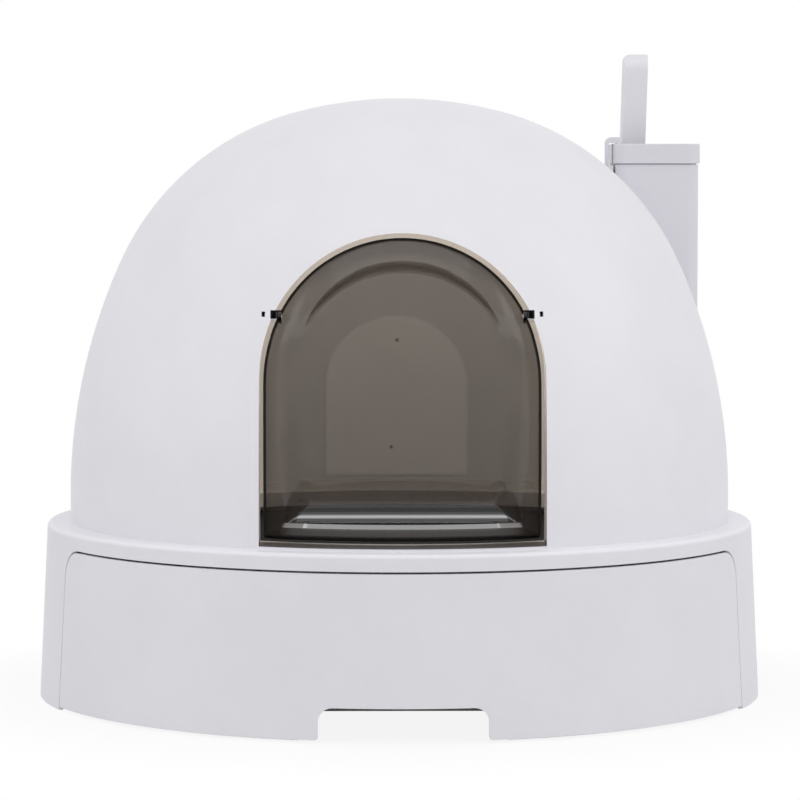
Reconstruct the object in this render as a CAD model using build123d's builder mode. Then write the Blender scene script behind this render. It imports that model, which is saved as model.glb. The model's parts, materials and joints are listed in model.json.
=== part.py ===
import os
from math import asin, cos, degrees, radians, sin, sqrt, tan

from build123d import *

# Cat litter box: a round base with a pull-out drawer, a dome with a see-through swing flap,
# and a scoop in a holder that hooks on beside the dome. The front faces -Y, +Z is up and the
# origin is the middle of the underside. Lengths are in millimetres, angles in degrees.

# Values shared by several pieces
wall = 3.0
overrun = 5.0
fit_gap = 0.3

# Screws
shank_radius = 1.75
bore_radius = 1.8
head_radius = 3.4
head_height = 1.4
socket_radius = 1.2
socket_depth = 0.8

# Base housing: a slightly tapered drum with a ledge that carries the dome
base_radius = 270.0
base_height = 129.5
base_draft = 2.78
ledge_edge_radius = 3.5
ledge_width = 27.71
skirt_drop = 11.5
skirt_wall = 2.5
ring_height = 8.0
ring_wall = 2.5
ring_gap = 0.7
ring_door_margin = 5.0
post_setback = 20.0
post_spacing = 60.0
post_radius = 4.5

# Drawer bay in the front of the housing, as seen from the side
bay_face = 106.0
bay_drop = 12.0
bay_corner_radius = 20.0
bay_gap = 1.3

# Floor plate with the drawer's runners
plate_foot = 1.5
plate_thickness = 2.5
plate_gap = 0.5
plate_rim_setback = 30.0
plate_rim_width = 4.0
plate_recess_half_width = 72.0
plate_recess_reach = 125.0
runner_offset = 140.0
runner_width = 8.0
runner_setback = 65.0
screw_reach = 12.0

# Litter pan
pan_setback = 14.5
pan_side_setback = 40.5
pan_corner_radius = 60.0
pan_foot = 20.0
pan_top_gap = 4.8
pan_wall = 2.6
pan_draft = 3.0
pan_foot_radius = 30.0
pan_rim_width = 4.5
pan_rim_thickness = 2.9
guide_wall = 3.0
guide_gap = 0.5
guide_depth = 8.0
guide_setback = 120.0

# Drawer front
front_foot = 2.3
front_top_gap = 1.5
notch_half_width = 58.4
notch_height = 24.6
notch_radius = 10.0
notch_foot_radius = 2.5
hook_half_width = 150.0
hook_wall = 2.5
hook_drop = 10.0
front_rib_count = 7
front_rib_turn = 11.0
front_rib_width = 2.0
front_rib_foot = 60.0

# Dome: three tangent arcs, from the foot to the crown
dome_setback = 17.41
dome_side_radius = 421.3
dome_shoulder_radius = 200.9
dome_side_lean = 2.5
dome_side_sweep = 27.23
dome_shoulder_sweep = 50.36

# Doorway in the dome, with the jamb that runs inwards round it
door_half_width = 99.4
door_sill = 1.8
door_spring = 117.9
jamb_wall = 3.0
jamb_back = 4.0
lip_width = 5.6
lip_rise = 0.8

# Arched panel pressed into the dome's back wall
panel_half_width = 58.0
panel_foot = 12.0
panel_spring = 85.5
panel_press = 1.5

# Flap: a curved face with a flat leaning window pressed into it
flap_side_gap = 3.4
flap_foot_gap = 2.2
flap_setback = 23.7
flap_belly_radius = 335.0
flap_belly_rise = 70.5
flap_thickness = 2.5
shelf_thickness = 1.6
flap_corner_radius = 2.0
window_radius = 76.3
window_rise = 116.0
window_drop = 85.2
window_lean = 7.4
window_taper = 7.8
window_corner_radius = 8.0
window_setback = 22.6
window_reach = 45.0
window_side_bevel = 45.0
window_foot_bevel = 38.7
shelf_rise = 16.4

# Hinge of the flap
pivot_setback = 24.2
pivot_rise = 43.1
pin_radius = 2.9
pin_gap = 0.05
pin_root = 76.0
pin_tip = 94.0
ear_width = 8.0
socket_boss_radius = 5.0
socket_boss_start = 88.0
socket_boss_end = 99.5
socket_end_radius = 2.0
socket_end = 97.6
relief_radius = 17.0
relief_start = 81.0
relief_end = 93.0

# Scoop holder beside the dome: a bucket with a collar round its mouth
bucket_standoff = 19.3
bucket_width = 65.5
bucket_front_setback = 136.3
bucket_depth = 96.0
bucket_corner_radius = 9.0
bucket_wall = 2.5
bucket_rise = 110.5
bucket_foot_radius = 4.0
bucket_dome_gap = 2.0
bucket_height = 155.4
neck_height = 16.2
neck_inset = 1.5
collar_gap = 0.2
collar_overhang = 1.2
collar_step = 0.9
collar_edge_radius = 0.6

# Hook on the bucket and the bracket on the dome that it drops into
hook_reach = 6.8
hook_leg_thickness = 2.2
hook_leg_length = 59.6
hook_inset = 16.5
hook_width = 14.0
hook_bridge_gap = 0.7
hook_bridge_thickness = 4.5
hook_bridge_radius = 4.4
bracket_side_gap = 1.2
bracket_top_gap = 2.3
bracket_width = 22.0
bracket_shoulder = 7.4
bracket_reach = 45.4
bracket_depth = 26.7
bracket_gap = 0.2
pocket_gap = 0.4
bracket_screw_depth = 8.0
bracket_screw_rises = (15.5, 36.0)
bracket_screw_offset = 4.5

# Scoop that stands in the bucket
handle_inset = 6.2
handle_thickness = 18.5
handle_width = 26.0
handle_rise = 71.0
handle_slant = 3.6
handle_left_radius = 4.8
handle_right_radius = 2.4
handle_end_radius = 12.0
handle_wall = 2.4
handle_overlap = 10.0
scoop_floor_gap = 0.5
blade_inset = 14.5
blade_length = 133.0
blade_sweep = 30.0
blade_width = 84.0
blade_thickness = 2.6
blade_side_wall = 2.2
blade_side_gap = 1.1
blade_side_step = 12.0
blade_side_height = 57.0
slot_count = 7
slot_width = 5.0
slot_pitch = 10.0
slot_length = 88.0
slot_rise = 57.0


# Places that follow the base's rim and its height
base_rim_radius = base_radius - base_height * tan(radians(base_draft))
ledge_inner_radius = base_rim_radius - ledge_width
post_offset = base_radius - post_setback
plate_rim_radius = base_radius - plate_rim_setback
runner_half_length = base_radius - runner_setback
guide_half_length = base_radius - guide_setback
bay_height = base_height - bay_drop
pan_radius = base_radius - pan_setback
pan_half_width = base_radius - pan_side_setback
pan_height = bay_height - pan_top_gap

# Dome outline: each arc's centre as (radius, height), and the lean of the surface where it ends
dome_foot_radius = base_rim_radius - dome_setback
side_start = -dome_side_lean
side_end = side_start + dome_side_sweep
shoulder_end = side_end + dome_shoulder_sweep
side_centre = (
    dome_foot_radius - dome_side_radius * cos(radians(side_start)),
    base_height - dome_side_radius * sin(radians(side_start)),
)
shoulder_centre = (
    side_centre[0] + (dome_side_radius - dome_shoulder_radius) * cos(radians(side_end)),
    side_centre[1] + (dome_side_radius - dome_shoulder_radius) * sin(radians(side_end)),
)
shoulder_top = (
    shoulder_centre[0] + dome_shoulder_radius * cos(radians(shoulder_end)),
    shoulder_centre[1] + dome_shoulder_radius * sin(radians(shoulder_end)),
)
crown_radius = shoulder_top[0] / cos(radians(shoulder_end))
crown_centre = (0, shoulder_top[1] - crown_radius * sin(radians(shoulder_end)))

# Levels that several pieces share
plate_top = plate_foot + plate_thickness
front_top = bay_height - front_top_gap
door_foot = base_height + door_sill
door_spring_height = base_height + door_spring
flap_foot = door_foot + flap_foot_gap
flap_half_width = door_half_width - flap_side_gap
flap_radius = dome_foot_radius - flap_setback
flap_belly_height = base_height + flap_belly_rise
window_height = base_height + window_rise
window_depth = flap_radius - window_setback
shelf_height = door_foot + shelf_rise
pivot_depth = flap_radius - pivot_setback
pivot_height = door_spring_height + pivot_rise


def dome_lean(height):
    """Lean of the dome's surface at a height, with the centre and radius of its arc there."""
    joint = side_centre[1] + dome_side_radius * sin(radians(side_end))
    centre, radius = (side_centre, dome_side_radius)
    if height > joint:
        centre, radius = (shoulder_centre, dome_shoulder_radius)
    return degrees(asin((height - centre[1]) / radius)), centre, radius


def dome_reach(height):
    """Radius of the dome's outer surface at a height."""
    lean, centre, radius = dome_lean(height)
    return centre[0] + radius * cos(radians(lean))


# Places of the bucket, its hook and the bracket, from the dome's surface at the foot of the hook
bucket_foot = base_height + bucket_rise
bucket_shoulder = bucket_foot + bucket_height
bucket_top = bucket_shoulder + neck_height
bucket_floor = bucket_foot + bucket_wall
bucket_front = dome_foot_radius - bucket_front_setback
bucket_back = bucket_front + bucket_depth
hook_centre = bucket_front + hook_inset
hook_leg_foot = bucket_top - hook_leg_length
bucket_left = sqrt((dome_reach(hook_leg_foot) + bucket_standoff) ** 2 - hook_centre**2)
bucket_right = bucket_left + bucket_width
hook_leg_left = bucket_left - hook_reach
bracket_right = bucket_left - bracket_side_gap
bracket_left = bracket_right - bracket_reach
bracket_top = bucket_shoulder + collar_step - bracket_top_gap
bracket_foot = hook_leg_foot - fit_gap - bracket_depth


def base_surface(height, inset=0):
    """Radius of the base's outer surface at a height, drawn in by inset."""
    return base_radius - height * tan(radians(base_draft)) - inset


def revolved(*points):
    """Solid of revolution about the middle, from an outline of (radius, height) points."""
    with BuildPart() as body:
        with BuildSketch(Plane.XZ):
            with BuildLine():
                Polyline(*points, close=True)
            make_face()
        revolve(axis=Axis.Z)
    return body.part


def dome_body(inset, low=base_height):
    """Solid under the dome's surface drawn in by inset, from the height low upwards."""
    start = degrees(asin((low - side_centre[1]) / (dome_side_radius - inset)))
    with BuildPart() as body:
        with BuildSketch(Plane.XZ):
            with BuildLine():
                side = CenterArc(side_centre, dome_side_radius - inset, start, side_end - start)
                CenterArc(shoulder_centre, dome_shoulder_radius - inset, side_end, dome_shoulder_sweep)
                crown = CenterArc(crown_centre, crown_radius - inset, shoulder_end, 90 - shoulder_end)
                Polyline(crown @ 1, (0, low), side @ 0)
            make_face()
        revolve(axis=Axis.Z)
    return body.part


def belly_body(inset):
    """Solid behind the flap's curved face, drawn in by inset."""
    low = base_height - overrun
    high = door_spring_height + door_half_width + jamb_wall + overrun
    centre = (flap_radius - flap_belly_radius, flap_belly_height)
    radius = flap_belly_radius - inset
    start = degrees(asin((low - flap_belly_height) / radius))
    end = degrees(asin((high - flap_belly_height) / radius))
    with BuildPart() as body:
        with BuildSketch(Plane.XZ):
            with BuildLine():
                face = CenterArc(centre, radius, start, end - start)
                Polyline(face @ 1, (0, high), (0, low), face @ 0)
            make_face()
        revolve(axis=Axis.Z)
    return body.part


def arch_bar(half_width, foot, spring, front, back, corner_radius=0):
    """Arch with upright sides and a round top, carried along Y from front to back."""
    with BuildPart() as bar:
        with BuildSketch(Plane.XZ.offset(-back)) as outline:
            with BuildLine():
                CenterArc((0, spring), half_width, 0, 180)
                Polyline((-half_width, spring), (-half_width, foot), (half_width, foot), (half_width, spring))
            make_face()
            if corner_radius > 0:
                fillet(outline.vertices().group_by(Axis.Y)[0], corner_radius)
        extrude(amount=back - front)
    return bar.part


def doorway_block(margin, inset):
    """Arched block at the front, wider than the doorway by margin, under the dome drawn in by inset."""
    with BuildPart() as block:
        add(arch_bar(door_half_width + margin, base_height, door_spring_height, -base_radius, 0))
        add(dome_body(inset), mode=Mode.INTERSECT)
    return block.part


def panel_layer(outer, inner):
    """Arched layer in the back wall, between two depths under the dome's surface."""
    with BuildPart() as layer:
        foot = base_height + panel_foot
        add(arch_bar(panel_half_width, foot, base_height + panel_spring, 0, base_radius))
        add(dome_body(outer), mode=Mode.INTERSECT)
        add(dome_body(inner), mode=Mode.SUBTRACT)
    return layer.part


def hinge_pair(radius, near, far):
    """Two cylinders on the flap's hinge line, each from near to far off the middle."""
    with BuildPart() as pair:
        with BuildSketch(Plane.YZ.offset(near)):
            with Locations((-pivot_depth, pivot_height)):
                Circle(radius)
        extrude(amount=far - near)
        mirror(about=Plane.YZ)
    return pair.part


def bay_block(face, top, corner_radius):
    """Block that is all in front of -Y = face and below top, with its upper back edge rounded."""
    with BuildPart() as block:
        with BuildSketch(Plane.YZ) as outline:
            with BuildLine():
                far = -base_radius - overrun
                Polyline((-face, top), (far, top), (far, -overrun), (-face, -overrun), close=True)
            make_face()
            fillet(outline.vertices().sort_by_distance((-face, top))[0], corner_radius)
        extrude(amount=base_radius + overrun, both=True)
    return block.part


# Base housing with its ledge, the ring that centres the dome, and the drawer bay
post_places = [
    (side * post_offset, row * post_spacing) for side in (-1, 1) for row in (-1, 0, 1)
]
ring_outer_radius = dome_foot_radius - wall - ring_gap

with BuildPart() as base_housing:
    with BuildSketch(Plane.XZ) as housing_outline:
        with BuildLine():
            Polyline(
                (base_surface(0), 0),
                (base_surface(base_height), base_height),
                (ledge_inner_radius, base_height),
                (ledge_inner_radius, base_height - skirt_drop),
                (ledge_inner_radius + skirt_wall, base_height - skirt_drop),
                (ledge_inner_radius + skirt_wall, base_height - wall),
                (base_surface(base_height - wall, wall), base_height - wall),
                (base_surface(0, wall), 0),
                close=True,
            )
        make_face()
        rim_corner = (base_surface(base_height), base_height)
        fillet(housing_outline.vertices().sort_by_distance(rim_corner)[0], ledge_edge_radius)
    revolve(axis=Axis.Z)
    with BuildSketch(Plane.XY.offset(base_height)):
        Circle(ring_outer_radius)
        Circle(ring_outer_radius - ring_wall, mode=Mode.SUBTRACT)
        with Locations((0, -base_radius / 2)):
            Rectangle(2 * (door_half_width + ring_door_margin), base_radius, mode=Mode.SUBTRACT)
    extrude(amount=ring_height)
    with BuildSketch(Plane.XY.offset(plate_top)):
        with Locations(*post_places):
            Circle(post_radius)
    extrude(amount=base_height - wall / 2 - plate_top)
    with BuildSketch(Plane.XY.offset(plate_top)):
        with Locations(*post_places):
            Circle(bore_radius)
    extrude(amount=screw_reach + fit_gap, mode=Mode.SUBTRACT)
    add(bay_block(bay_face, bay_height, bay_corner_radius), mode=Mode.SUBTRACT)


# Floor plate: a disc with a foot rim below, two runners above and a recess behind the pull notch
with BuildPart() as base_plate:
    with BuildSketch(Plane.XY.offset(plate_foot)):
        Circle(base_surface(plate_top, wall + plate_gap))
    extrude(amount=plate_thickness)
    with BuildSketch(Plane.XY):
        Circle(plate_rim_radius)
        Circle(plate_rim_radius - plate_rim_width, mode=Mode.SUBTRACT)
    extrude(amount=plate_foot)
    with BuildSketch(Plane.XY.offset(plate_top)):
        with Locations((-runner_offset, 0), (runner_offset, 0)):
            Rectangle(runner_width, 2 * runner_half_length)
    extrude(amount=pan_foot - fit_gap - plate_top)
    with BuildSketch(Plane.XY):
        with Locations((0, -(base_radius + plate_recess_reach) / 2)):
            Rectangle(2 * plate_recess_half_width, base_radius - plate_recess_reach)
    extrude(amount=plate_top, mode=Mode.SUBTRACT)
    with BuildSketch(Plane.XY.offset(plate_foot)):
        with Locations(*post_places):
            Circle(bore_radius)
    extrude(amount=plate_thickness, mode=Mode.SUBTRACT)


# Six screws up through the floor plate into the housing's posts
with BuildPart() as base_screws:
    with BuildSketch(Plane.XY.offset(plate_foot - head_height)):
        with Locations(*post_places):
            Circle(head_radius)
    extrude(amount=head_height)
    with BuildSketch(Plane.XY.offset(plate_foot)):
        with Locations(*post_places):
            Circle(shank_radius)
    extrude(amount=plate_thickness + screw_reach)
    with BuildSketch(Plane.XY.offset(plate_foot - head_height)):
        with Locations(*post_places):
            Circle(socket_radius)
    extrude(amount=socket_depth, mode=Mode.SUBTRACT)


def pan_form(inset, foot, top):
    """Body of the pan drawn in by inset: straight sides, round ends and a well-rounded bottom edge."""
    with BuildPart() as form:
        shrink = inset + (pan_height - foot) * tan(radians(pan_draft))
        with BuildSketch(Plane.XY.offset(foot)) as outline:
            Circle(pan_radius - shrink)
            Rectangle(2 * (pan_half_width - shrink), 2 * pan_radius, mode=Mode.INTERSECT)
            fillet(outline.vertices(), pan_corner_radius - shrink)
        extrude(amount=top - foot, taper=-pan_draft)
        fillet(form.edges().group_by(Axis.Z)[0], pan_foot_radius - inset)
    return form.part


# Litter pan: a deep rounded tray with a flat rim, and ribs that straddle the runners
guide_reach = runner_width / 2 + guide_gap + guide_wall / 2

with BuildPart() as litter_pan:
    add(pan_form(0, pan_foot, pan_height))
    with BuildSketch(Plane.XY.offset(pan_height - pan_rim_thickness)) as rim_outline:
        Circle(pan_radius + pan_rim_width)
        Rectangle(2 * (pan_half_width + pan_rim_width), 2 * base_radius, mode=Mode.INTERSECT)
        fillet(rim_outline.vertices(), pan_corner_radius + pan_rim_width)
    extrude(amount=pan_rim_thickness)
    add(pan_form(pan_wall, pan_foot + pan_wall, pan_height + overrun), mode=Mode.SUBTRACT)
    with BuildSketch(Plane.XY.offset(pan_foot - guide_depth)):
        with Locations(*[(a * runner_offset + b * guide_reach, 0) for a in (-1, 1) for b in (-1, 1)]):
            Rectangle(guide_wall, 2 * guide_half_length)
    extrude(amount=guide_depth + pan_wall / 2)


# Drawer front: a slice of the base's surface that hooks over the pan's rim, with ribs behind it
hook_outer_radius = pan_radius - pan_wall - fit_gap - hook_drop * tan(radians(pan_draft))
hook_foot = pan_height + fit_gap - hook_drop

with BuildPart() as front_hook:
    add(
        revolved(
            (base_surface(front_top, wall / 2), front_top),
            (hook_outer_radius - hook_wall, front_top),
            (hook_outer_radius - hook_wall, hook_foot),
            (hook_outer_radius, hook_foot),
            (hook_outer_radius, pan_height + fit_gap),
            (base_surface(front_top, wall / 2), pan_height + fit_gap),
        )
    )
    with BuildSketch(Plane.XY):
        with Locations((0, -base_radius / 2)):
            Rectangle(2 * hook_half_width, base_radius)
    extrude(amount=base_height, mode=Mode.INTERSECT)

with BuildPart() as front_ribs:
    for index in range(front_rib_count):
        turn = (index - (front_rib_count - 1) / 2) * front_rib_turn
        rib_plane = Plane(origin=(0, 0, 0), x_dir=(1, 0, 0), z_dir=(0, 0, 1)).rotated((0, 0, turn))
        with BuildSketch(rib_plane.offset(front_rib_foot)):
            with Locations((0, -base_radius / 2)):
                Rectangle(front_rib_width, base_radius)
        extrude(amount=pan_height + fit_gap - front_rib_foot)
    add(
        revolved((0, 0), (base_surface(0, wall / 2), 0), (base_surface(front_top, wall / 2), front_top),
                 (0, front_top)),
        mode=Mode.INTERSECT,
    )
    add(pan_form(-fit_gap, pan_foot, pan_height), mode=Mode.SUBTRACT)
    with BuildSketch(Plane.XY.offset(pan_height - pan_rim_thickness - fit_gap)):
        Circle(pan_radius + pan_rim_width + fit_gap)
    extrude(amount=pan_rim_thickness + 2 * fit_gap, mode=Mode.SUBTRACT)

with BuildPart() as drawer_front:
    add(
        revolved(
            (base_surface(0), 0),
            (base_surface(front_top), front_top),
            (base_surface(front_top, wall), front_top),
            (base_surface(0, wall), 0),
        )
    )
    add(front_hook.part)
    add(front_ribs.part)
    add(bay_block(bay_face + bay_gap, front_top, bay_corner_radius - bay_gap), mode=Mode.INTERSECT)
    with BuildSketch(Plane.XZ) as notch_outline:
        with BuildLine():
            Polyline(
                (-base_radius, -overrun),
                (-base_radius, front_foot),
                (-notch_half_width, front_foot),
                (-notch_half_width, notch_height),
                (notch_half_width, notch_height),
                (notch_half_width, front_foot),
                (base_radius, front_foot),
                (base_radius, -overrun),
                close=True,
            )
        make_face()
        fillet(notch_outline.vertices().group_by(Axis.Y)[-1], notch_radius)
        foot_corners = notch_outline.vertices().group_by(Axis.Y)[1].sort_by(Axis.X)[1:3]
        fillet(foot_corners, notch_foot_radius)
    extrude(amount=base_radius + overrun, mode=Mode.SUBTRACT)


# Dome with its doorway, jamb, raised band, hinge sockets and back panel
with BuildPart() as hinge_relief:
    with BuildSketch(Plane.YZ.offset(relief_start)):
        with Locations((-pivot_depth, pivot_height)):
            Circle(relief_radius)
        with Locations((-pivot_depth - pin_radius - relief_radius, pivot_height)):
            Rectangle(2 * relief_radius, 2 * relief_radius, mode=Mode.SUBTRACT)
    extrude(amount=relief_end - relief_start)
    mirror(about=Plane.YZ)

with BuildPart() as skin_relief:
    add(hinge_relief.part)
    add(dome_body(wall / 2), mode=Mode.INTERSECT)

with BuildPart() as jamb:
    add(doorway_block(jamb_wall, 0))
    add(belly_body(jamb_back), mode=Mode.SUBTRACT)
    add(hinge_relief.part, mode=Mode.SUBTRACT)

with BuildPart() as hinge_sockets:
    add(hinge_pair(socket_boss_radius, socket_boss_start, socket_boss_end))
    add(dome_body(0), mode=Mode.INTERSECT)


def screw_place(height):
    """Plane on the dome's surface at a bracket screw, with its normal pointing outwards."""
    lean = radians(dome_lean(height)[0])
    back = hook_centre - bracket_screw_offset
    across = sqrt(dome_reach(height) ** 2 - back**2)
    flat = cos(lean) / dome_reach(height)
    return Plane(origin=(across, back, height), z_dir=(across * flat, back * flat, sin(lean)))


def screw_bores(radius, inner, outer):
    """Cylinders on the bracket screws' lines, between two depths from the dome's surface."""
    with BuildPart() as bores:
        for rise in bracket_screw_rises:
            with BuildSketch(screw_place(bracket_foot + rise).offset(inner)):
                Circle(radius)
            extrude(amount=outer - inner)
    return bores.part


with BuildPart() as dome_shell:
    add(dome_body(0))
    add(doorway_block(lip_width, -lip_rise))
    add(dome_body(wall, base_height - overrun), mode=Mode.SUBTRACT)
    add(panel_layer(wall / 2, wall + panel_press))
    add(panel_layer(-overrun, panel_press), mode=Mode.SUBTRACT)
    add(jamb.part)
    add(skin_relief.part, mode=Mode.SUBTRACT)
    add(arch_bar(door_half_width, door_foot, door_spring_height, -base_radius, 0), mode=Mode.SUBTRACT)
    add(hinge_sockets.part)
    add(hinge_pair(pin_radius + pin_gap, pin_root + ear_width, pin_tip + fit_gap), mode=Mode.SUBTRACT)
    add(hinge_pair(socket_end_radius, pin_tip, socket_end), mode=Mode.SUBTRACT)
    add(screw_bores(bore_radius, -wall - overrun, overrun), mode=Mode.SUBTRACT)


def window_face(plane, ahead):
    """Outline of the flap's window at a distance ahead of its plane, grown by the bevels."""
    grow = abs(ahead) * tan(radians(window_side_bevel))
    radius = window_radius + grow
    drop = window_drop + abs(ahead) * tan(radians(window_foot_bevel))
    lean = radians(window_taper)
    foot_half_width = (radius - drop * sin(lean)) / cos(lean)
    with BuildSketch(plane.offset(ahead)) as face:
        with BuildLine():
            arch = CenterArc((0, 0), radius, -window_taper, 180 + 2 * window_taper)
            Polyline(arch @ 1, (-foot_half_width, -drop), (foot_half_width, -drop), arch @ 0)
        make_face()
        fillet(face.vertices().group_by(Axis.Y)[0], window_corner_radius + grow / 2)
    return face.sketch


def window_wedge(reach):
    """Bevelled block between the window's plane and a plane at reach ahead of it."""
    lean = radians(window_lean)
    middle = (0, -window_depth, window_height)
    plane = Plane(origin=middle, x_dir=(1, 0, 0), z_dir=(0, -cos(lean), -sin(lean)))
    with BuildPart() as wedge:
        loft([window_face(plane, 0), window_face(plane, reach)], ruled=True)
    return wedge.part


# Solid behind the flap's outer face: the curved belly, with the window pressed in, proud on top
with BuildPart() as window_recess:
    add(window_wedge(window_reach))
    with BuildSketch(Plane.XY.offset(shelf_height)):
        Rectangle(2 * base_radius, 2 * base_radius)
    extrude(amount=base_radius, mode=Mode.INTERSECT)

with BuildPart() as flap_body:
    add(belly_body(0))
    add(window_recess.part, mode=Mode.SUBTRACT)
    add(window_wedge(-window_reach))

with BuildPart() as pin_ears:
    with BuildSketch(Plane.YZ.offset(pin_root)):
        with Locations((-pivot_depth, pivot_height)):
            Circle(pin_radius)
            with Locations((pin_radius, 0)):
                Rectangle(2 * pin_radius, 2 * pin_radius)
    extrude(amount=ear_width)
    mirror(about=Plane.YZ)

with BuildPart() as entry_flap:
    add(arch_bar(flap_half_width, flap_foot, door_spring_height, -base_radius,
                 -pivot_depth + window_reach, flap_corner_radius))
    add(flap_body.part, mode=Mode.INTERSECT)
    add(flap_body.part.moved(Location((0, flap_thickness, -shelf_thickness))), mode=Mode.SUBTRACT)
    add(pin_ears.part)
    add(hinge_pair(pin_radius, pin_root, pin_tip))


def upright_block(left, right, front, back, low, high, corner_radius):
    """Upright block with rounded corners in plan."""
    with BuildPart() as block:
        with BuildSketch(Plane.XY.offset(low)):
            with Locations(((left + right) / 2, (front + back) / 2)):
                RectangleRounded(right - left, back - front, corner_radius)
        extrude(amount=high - low)
    return block.part


def bucket_block(inset, low, high):
    """Block of the bucket's plan drawn in by inset."""
    return upright_block(
        bucket_left + inset, bucket_right - inset, bucket_front + inset, bucket_back - inset,
        low, high, bucket_corner_radius - inset,
    )


# Bucket of the scoop holder: it hugs the dome, and its neck carries the collar and the hook
hook_top = bucket_top + hook_bridge_gap + hook_bridge_thickness
hook_front = hook_centre - hook_width / 2
neck_left = bucket_left + neck_inset

with BuildPart() as bucket_hook:
    with BuildSketch(Plane.XZ.offset(-hook_front)) as hook_outline:
        with BuildLine():
            leg_right = hook_leg_left + hook_leg_thickness
            bridge_foot = hook_top - hook_bridge_thickness
            Polyline(
                (hook_leg_left, hook_leg_foot),
                (hook_leg_left, hook_top),
                (neck_left + bucket_wall, hook_top),
                (neck_left + bucket_wall, bucket_top - bucket_wall),
                (neck_left, bucket_top - bucket_wall),
                (neck_left, bridge_foot),
                (leg_right, bridge_foot),
                (leg_right, hook_leg_foot),
                close=True,
            )
        make_face()
        hook_corner = (hook_leg_left, hook_top)
        fillet(hook_outline.vertices().sort_by_distance(hook_corner)[0], hook_bridge_radius)
    extrude(amount=-hook_width)

with BuildPart() as holder_bucket:
    add(bucket_block(0, bucket_foot, bucket_shoulder))
    fillet(holder_bucket.edges().group_by(Axis.Z)[0], bucket_foot_radius)
    add(bucket_block(neck_inset, bucket_shoulder, bucket_top))
    add(dome_body(-bucket_dome_gap), mode=Mode.SUBTRACT)
with BuildPart() as bucket_cavity:
    add(bucket_block(bucket_wall, bucket_floor, bucket_shoulder - bucket_wall))
    fillet(bucket_cavity.edges().group_by(Axis.Z)[0], bucket_foot_radius - bucket_wall)
    add(bucket_block(bucket_wall + neck_inset, bucket_shoulder - bucket_wall, bucket_top + overrun))
    add(dome_body(-bucket_dome_gap - bucket_wall), mode=Mode.SUBTRACT)
with holder_bucket:
    add(bucket_cavity.part, mode=Mode.SUBTRACT)
    add(bucket_hook.part)


# Collar: a sleeve round the bucket's neck
with BuildPart() as holder_collar:
    add(bucket_block(-collar_overhang, bucket_shoulder + collar_step, bucket_top))
    fillet(holder_collar.edges().group_by(Axis.Z)[-1], collar_edge_radius)
    add(
        bucket_block(neck_inset - collar_gap, bucket_shoulder, bucket_top + overrun),
        mode=Mode.SUBTRACT,
    )


# Bracket on the dome with the pocket for the hook
with BuildPart() as holder_bracket:
    with BuildSketch(Plane.XZ.offset(-(hook_centre - bracket_width / 2))):
        with BuildLine():
            slope_run = bracket_right - bracket_shoulder - bracket_left
            Polyline(
                (bracket_right, bracket_top),
                (bracket_right - bracket_shoulder, bracket_top),
                (bracket_left, bracket_top - slope_run),
                (bracket_left, bracket_foot),
                (bracket_right, bracket_foot),
                close=True,
            )
        make_face()
    extrude(amount=-bracket_width)
    add(dome_body(-bracket_gap), mode=Mode.SUBTRACT)
    with BuildSketch(Plane.XY.offset(hook_leg_foot - fit_gap)):
        with Locations((hook_leg_left + hook_leg_thickness / 2, hook_centre)):
            Rectangle(hook_leg_thickness + 2 * pocket_gap, hook_width + 2 * pocket_gap)
    extrude(amount=bracket_top - hook_leg_foot + overrun, mode=Mode.SUBTRACT)
    add(screw_bores(bore_radius, 0, bracket_screw_depth + fit_gap), mode=Mode.SUBTRACT)


# Two screws from inside the dome into the bracket
with BuildPart() as bracket_screws:
    head_end = -wall - fit_gap - head_height
    add(screw_bores(shank_radius, head_end + socket_depth, bracket_screw_depth))
    add(screw_bores(head_radius, head_end, head_end + head_height))
    add(screw_bores(socket_radius, head_end, head_end + socket_depth), mode=Mode.SUBTRACT)


# Scoop: a hollow handle, open towards +X, on a slotted blade with side walls
scoop_centre = (bucket_front + bucket_back) / 2
blade_foot = bucket_floor + scoop_floor_gap
blade_top = blade_foot + blade_length
blade_top_x = bucket_left + blade_inset
blade_foot_x = blade_top_x + blade_sweep
blade_side_right = bucket_right - neck_inset - bucket_wall - blade_side_gap
handle_left = bucket_left + handle_inset
handle_top = bucket_top + handle_rise
handle_foot = blade_top - handle_overlap


def handle_form(inset, right_reach):
    """Handle's shape drawn in by inset, with its right side moved out by right_reach."""
    right = handle_left + handle_thickness + right_reach
    with BuildPart() as form:
        with BuildSketch(Plane.XZ.offset(-scoop_centre)) as side_outline:
            with BuildLine():
                Polyline(
                    (handle_left + inset, handle_foot + inset),
                    (handle_left + handle_slant + inset, handle_top - inset),
                    (right + handle_slant, handle_top - inset),
                    (right, handle_foot + inset),
                    close=True,
                )
            make_face()
            top_corners = side_outline.vertices().group_by(Axis.Y)[-1].sort_by(Axis.X)
            fillet(top_corners[0], handle_left_radius - inset)
            fillet(top_corners[1], handle_right_radius)
        extrude(amount=handle_width / 2, both=True)
        with BuildSketch(Plane.YZ.offset(handle_left - overrun)) as end_outline:
            with Locations((scoop_centre, (handle_foot + handle_top) / 2)):
                Rectangle(handle_width - 2 * inset, handle_top - handle_foot - 2 * inset)
            fillet(end_outline.vertices().group_by(Axis.Y)[-1], handle_end_radius - inset)
        extrude(amount=bucket_width, mode=Mode.INTERSECT)
    return form.part


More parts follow.
